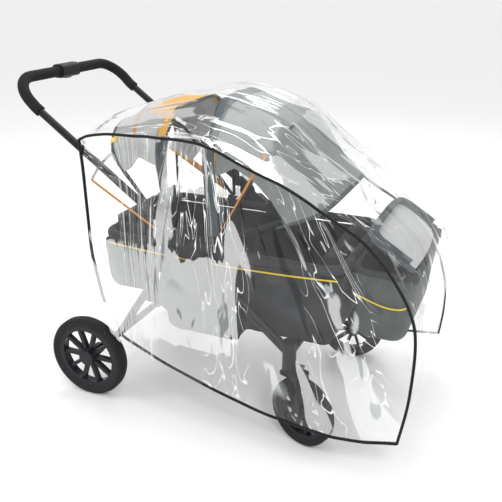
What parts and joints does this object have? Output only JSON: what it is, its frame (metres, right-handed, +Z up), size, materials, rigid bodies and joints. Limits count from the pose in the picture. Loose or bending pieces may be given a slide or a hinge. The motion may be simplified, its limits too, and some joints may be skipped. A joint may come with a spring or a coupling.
{
  "type": "stroller wagon",
  "caption": "Two-seat push stroller wagon with folding hoods, front basket, swivel casters, and a fitted clear rain cover.",
  "frame": {"origin": "on the ground under the middle of the rear axle", "axes": "+X forward towards the swivel casters, +Y to the left, +Z up"},
  "size_m": [1.3874, 0.7516, 1.1007],
  "materials": {
    "tyre_rubber": "matt moulded rubber",
    "wheel_plastic": "satin moulded",
    "bearing_steel": "brushed",
    "black_frame": "satin powder coat",
    "black_plastic": "fine texture",
    "grip_foam": "soft foam",
    "button_grey": "satin",
    "black_fabric": "woven",
    "grey_fabric": "woven",
    "gold_fabric": "woven",
    "yellow_piping": "corded",
    "board_plastic": "plain",
    "clear_film": "clear glossy film",
    "binding_tape": "woven tape"
  },
  "bodies": {
    "chassis": {"hub_housing_right": "black_plastic", "hub_housing_left": "black_plastic", "hub_pins": "bearing_steel", "front_beam_right": "black_frame", "front_beam_left": "black_frame", "caster_socket_right": "black_frame", "caster_socket_left": "black_frame", "front_cross_tube": "black_frame", "rim_tube": "black_frame", "rim_padding": "black_fabric", "tub_fabric": "black_fabric", "tub_piping": "yellow_piping", "floor_board": "board_plastic", "rear_seat_cushion": "black_fabric", "front_seat_cushion": "black_fabric", "rear_backrest": "black_fabric", "front_backrest": "black_fabric", "harnesses": "black_fabric", "basket_fabric": "black_fabric", "basket_rim": "black_frame", "hood_rear_bow": "black_plastic", "rear_hood_post": "black_plastic", "hood_pivots": "bearing_steel", "main_hood_fabric": "grey_fabric", "rear_hood_fabric": "gold_fabric", "basket_hood_pivots": "bearing_steel", "rain_cover": "clear_film", "cover_binding": "binding_tape"},
    "rear_frame": {"rear_leg_right": "black_frame", "rear_leg_left": "black_frame", "rear_cross_tube": "black_frame", "rear_axle": "bearing_steel"},
    "brake": {"brake_pedal": "black_plastic"},
    "rear_wheel_right": {"rear_right_tyre": "tyre_rubber", "rear_right_rim": "wheel_plastic", "rear_right_hub_cap": "wheel_plastic", "rear_right_bearings": "bearing_steel"},
    "rear_wheel_left": {"rear_left_tyre": "tyre_rubber", "rear_left_rim": "wheel_plastic", "rear_left_hub_cap": "wheel_plastic", "rear_left_bearings": "bearing_steel"},
    "caster_right": {"caster_fork_right": "black_plastic", "front_axle_right": "bearing_steel"},
    "caster_left": {"caster_fork_left": "black_plastic", "front_axle_left": "bearing_steel"},
    "front_wheel_right": {"front_right_tyre": "tyre_rubber", "front_right_rim": "wheel_plastic"},
    "front_wheel_left": {"front_left_tyre": "tyre_rubber", "front_left_rim": "wheel_plastic"},
    "lock_right": {"swivel_lock_right": "black_plastic"},
    "lock_left": {"swivel_lock_left": "black_plastic"},
    "handle": {"handle_tube": "black_frame", "handle_grips": "grip_foam", "grip_block": "black_plastic"},
    "button": {"grip_button": "button_grey"},
    "hood_middle": {"hood_middle_bow": "black_plastic"},
    "hood_visor": {"hood_visor_bow": "black_plastic"},
    "hood_back": {"rear_hood_bow": "black_plastic"},
    "basket_hood": {"basket_hood_bow": "black_plastic", "basket_hood_fabric": "grey_fabric"}
  },
  "joints": [
    {"name": "rear_wheel_right_spin", "type": "hinge", "parent": "rear_frame", "child": "rear_wheel_right", "pos_m": [0, -0.324, 0.146], "axis": [0, 1, 0], "continuous": true},
    {"name": "rear_wheel_left_spin", "type": "hinge", "parent": "rear_frame", "child": "rear_wheel_left", "pos_m": [0, 0.324, 0.146], "axis": [0, 1, 0], "continuous": true},
    {"name": "caster_right_swivel", "type": "hinge", "parent": "chassis", "child": "caster_right", "pos_m": [0.7295, -0.2734, 0.28], "axis": [0, 0, 1], "continuous": true, "deforming": ["rain_cover", "cover_binding"]},
    {"name": "caster_left_swivel", "type": "hinge", "parent": "chassis", "child": "caster_left", "pos_m": [0.7295, 0.2734, 0.28], "axis": [0, 0, -1], "continuous": true},
    {"name": "front_wheel_right_spin", "type": "hinge", "parent": "caster_right", "child": "front_wheel_right", "pos_m": [0.78588, -0.29392, 0.114], "axis": [0.342, 0.9397, 0], "continuous": true},
    {"name": "front_wheel_left_spin", "type": "hinge", "parent": "caster_left", "child": "front_wheel_left", "pos_m": [0.78588, 0.29392, 0.114], "axis": [-0.342, 0.9397, 0], "continuous": true},
    {"name": "swivel_lock_right_press", "type": "hinge", "parent": "chassis", "child": "lock_right", "pos_m": [0.7553, -0.2734, 0.2595], "axis": [0, 1, 0], "range_deg": [-20, 0]},
    {"name": "swivel_lock_left_press", "type": "hinge", "parent": "chassis", "child": "lock_left", "pos_m": [0.7553, 0.2734, 0.2595], "axis": [0, 1, 0], "range_deg": [-20, 0]},
    {"name": "rear_leg_fold", "type": "hinge", "parent": "chassis", "child": "rear_frame", "pos_m": [0.352, 0, 0.63], "axis": [0, -1, 0], "range_deg": [0, 21]},
    {"name": "brake_press", "type": "hinge", "parent": "rear_frame", "child": "brake", "pos_m": [0.108, 0, 0.241], "axis": [0, -1, 0], "range_deg": [0, 20]},
    {"name": "handle_tilt", "type": "hinge", "parent": "chassis", "child": "handle", "pos_m": [0.352, 0, 0.63], "axis": [0, -1, 0], "range_deg": [0, 28]},
    {"name": "grip_button_press", "type": "slide", "parent": "handle", "child": "button", "axis": [0, 0, 1], "range_m": [0, 0.0025], "stiffness_N_per_m": 400},
    {"name": "hood_visor_fold", "type": "hinge", "parent": "chassis", "child": "hood_visor", "pos_m": [0.465, 0, 0.612], "axis": [0, -1, 0], "range_deg": [0, 50], "deforming": ["main_hood_fabric"]},
    {"name": "hood_middle_fold", "type": "hinge", "parent": "chassis", "child": "hood_middle", "pos_m": [0.465, 0, 0.612], "axis": [0, -1, 0], "range_deg": [0, 24]},
    {"name": "rear_hood_fold", "type": "hinge", "parent": "chassis", "child": "hood_back", "pos_m": [0.3, 0, 0.612], "axis": [0, 1, 0], "range_deg": [0, 30], "deforming": ["rear_hood_fabric"]},
    {"name": "basket_hood_fold", "type": "hinge", "parent": "chassis", "child": "basket_hood", "pos_m": [1.079, 0, 0.596], "axis": [0, -1, 0], "range_deg": [0, 10]}
  ],
  "couplings": [
    {"joint": "hood_middle_fold", "follows": "hood_visor_fold", "ratio": 0.48}
  ]
}
